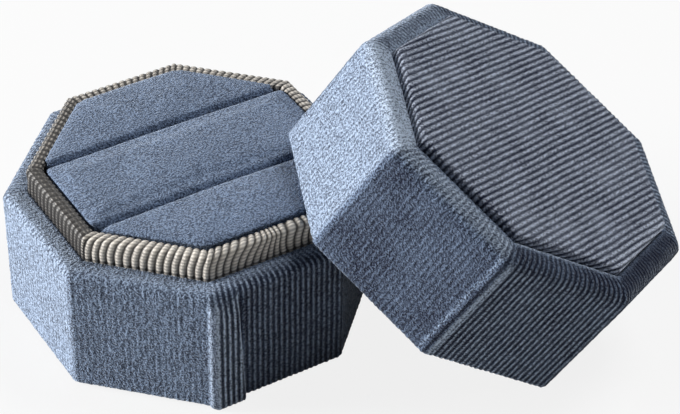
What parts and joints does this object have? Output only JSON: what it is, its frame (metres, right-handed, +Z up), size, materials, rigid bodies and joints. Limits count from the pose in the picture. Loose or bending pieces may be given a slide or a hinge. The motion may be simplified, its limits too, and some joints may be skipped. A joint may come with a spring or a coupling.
{
  "type": "ring box",
  "caption": "Octagonal velvet ring box: slotted ring cushion inside a ribbed collar, with a padded lift-off lid leaning on the base.",
  "frame": {"origin": "centre of the base's underside, on the surface it rests on", "axes": "+Z up out of the base; +X along the cushion's ring slots, towards the side where the lid leans; +Y towards the back"},
  "size_m": [0.097, 0.0895, 0.051],
  "materials": {
    "blue_velvet": "needlecord velvet, pile brushed light on the side that faces the light",
    "needlecord": "fine-wale needlecord over wadding",
    "cushion_velvet": "short-pile velvet over foam",
    "ribbed_ribbon": "cream ribbed ribbon, satin threads with dark gaps",
    "lining": "cream satin lining",
    "foam": "open-cell foam",
    "board": "greyboard, raw",
    "card": "white-lined card",
    "underside_sheet": "flocked paper, dark blue"
  },
  "bodies": {
    "base": {"base_underside_sheet": "underside_sheet", "base_floor_board": "board", "base_wall_board": "board", "base_velvet_wrap": "blue_velvet", "collar_board": "board", "collar_ribbon": "ribbed_ribbon", "cushion_card": "card", "cushion_back_foam": "foam", "cushion_middle_foam": "foam", "cushion_front_foam": "foam", "cushion_back_cover": "cushion_velvet", "cushion_middle_cover": "cushion_velvet", "cushion_front_cover": "cushion_velvet"},
    "lid": {"lid_velvet_wrap": "blue_velvet", "lid_wall_board": "board", "lid_top_board": "board", "lid_lining_strip": "lining", "lid_lining_card": "card", "lid_lining_cover": "lining", "lid_panel_card": "card", "lid_panel_wadding": "foam", "lid_panel_cloth": "needlecord"}
  },
  "joints": [
    {"name": "lid_lift", "type": "slide", "parent": "base", "child": "lid", "axis": [0.4355, -0.3118, 0.8445], "range_m": [0, 0.06]}
  ]
}
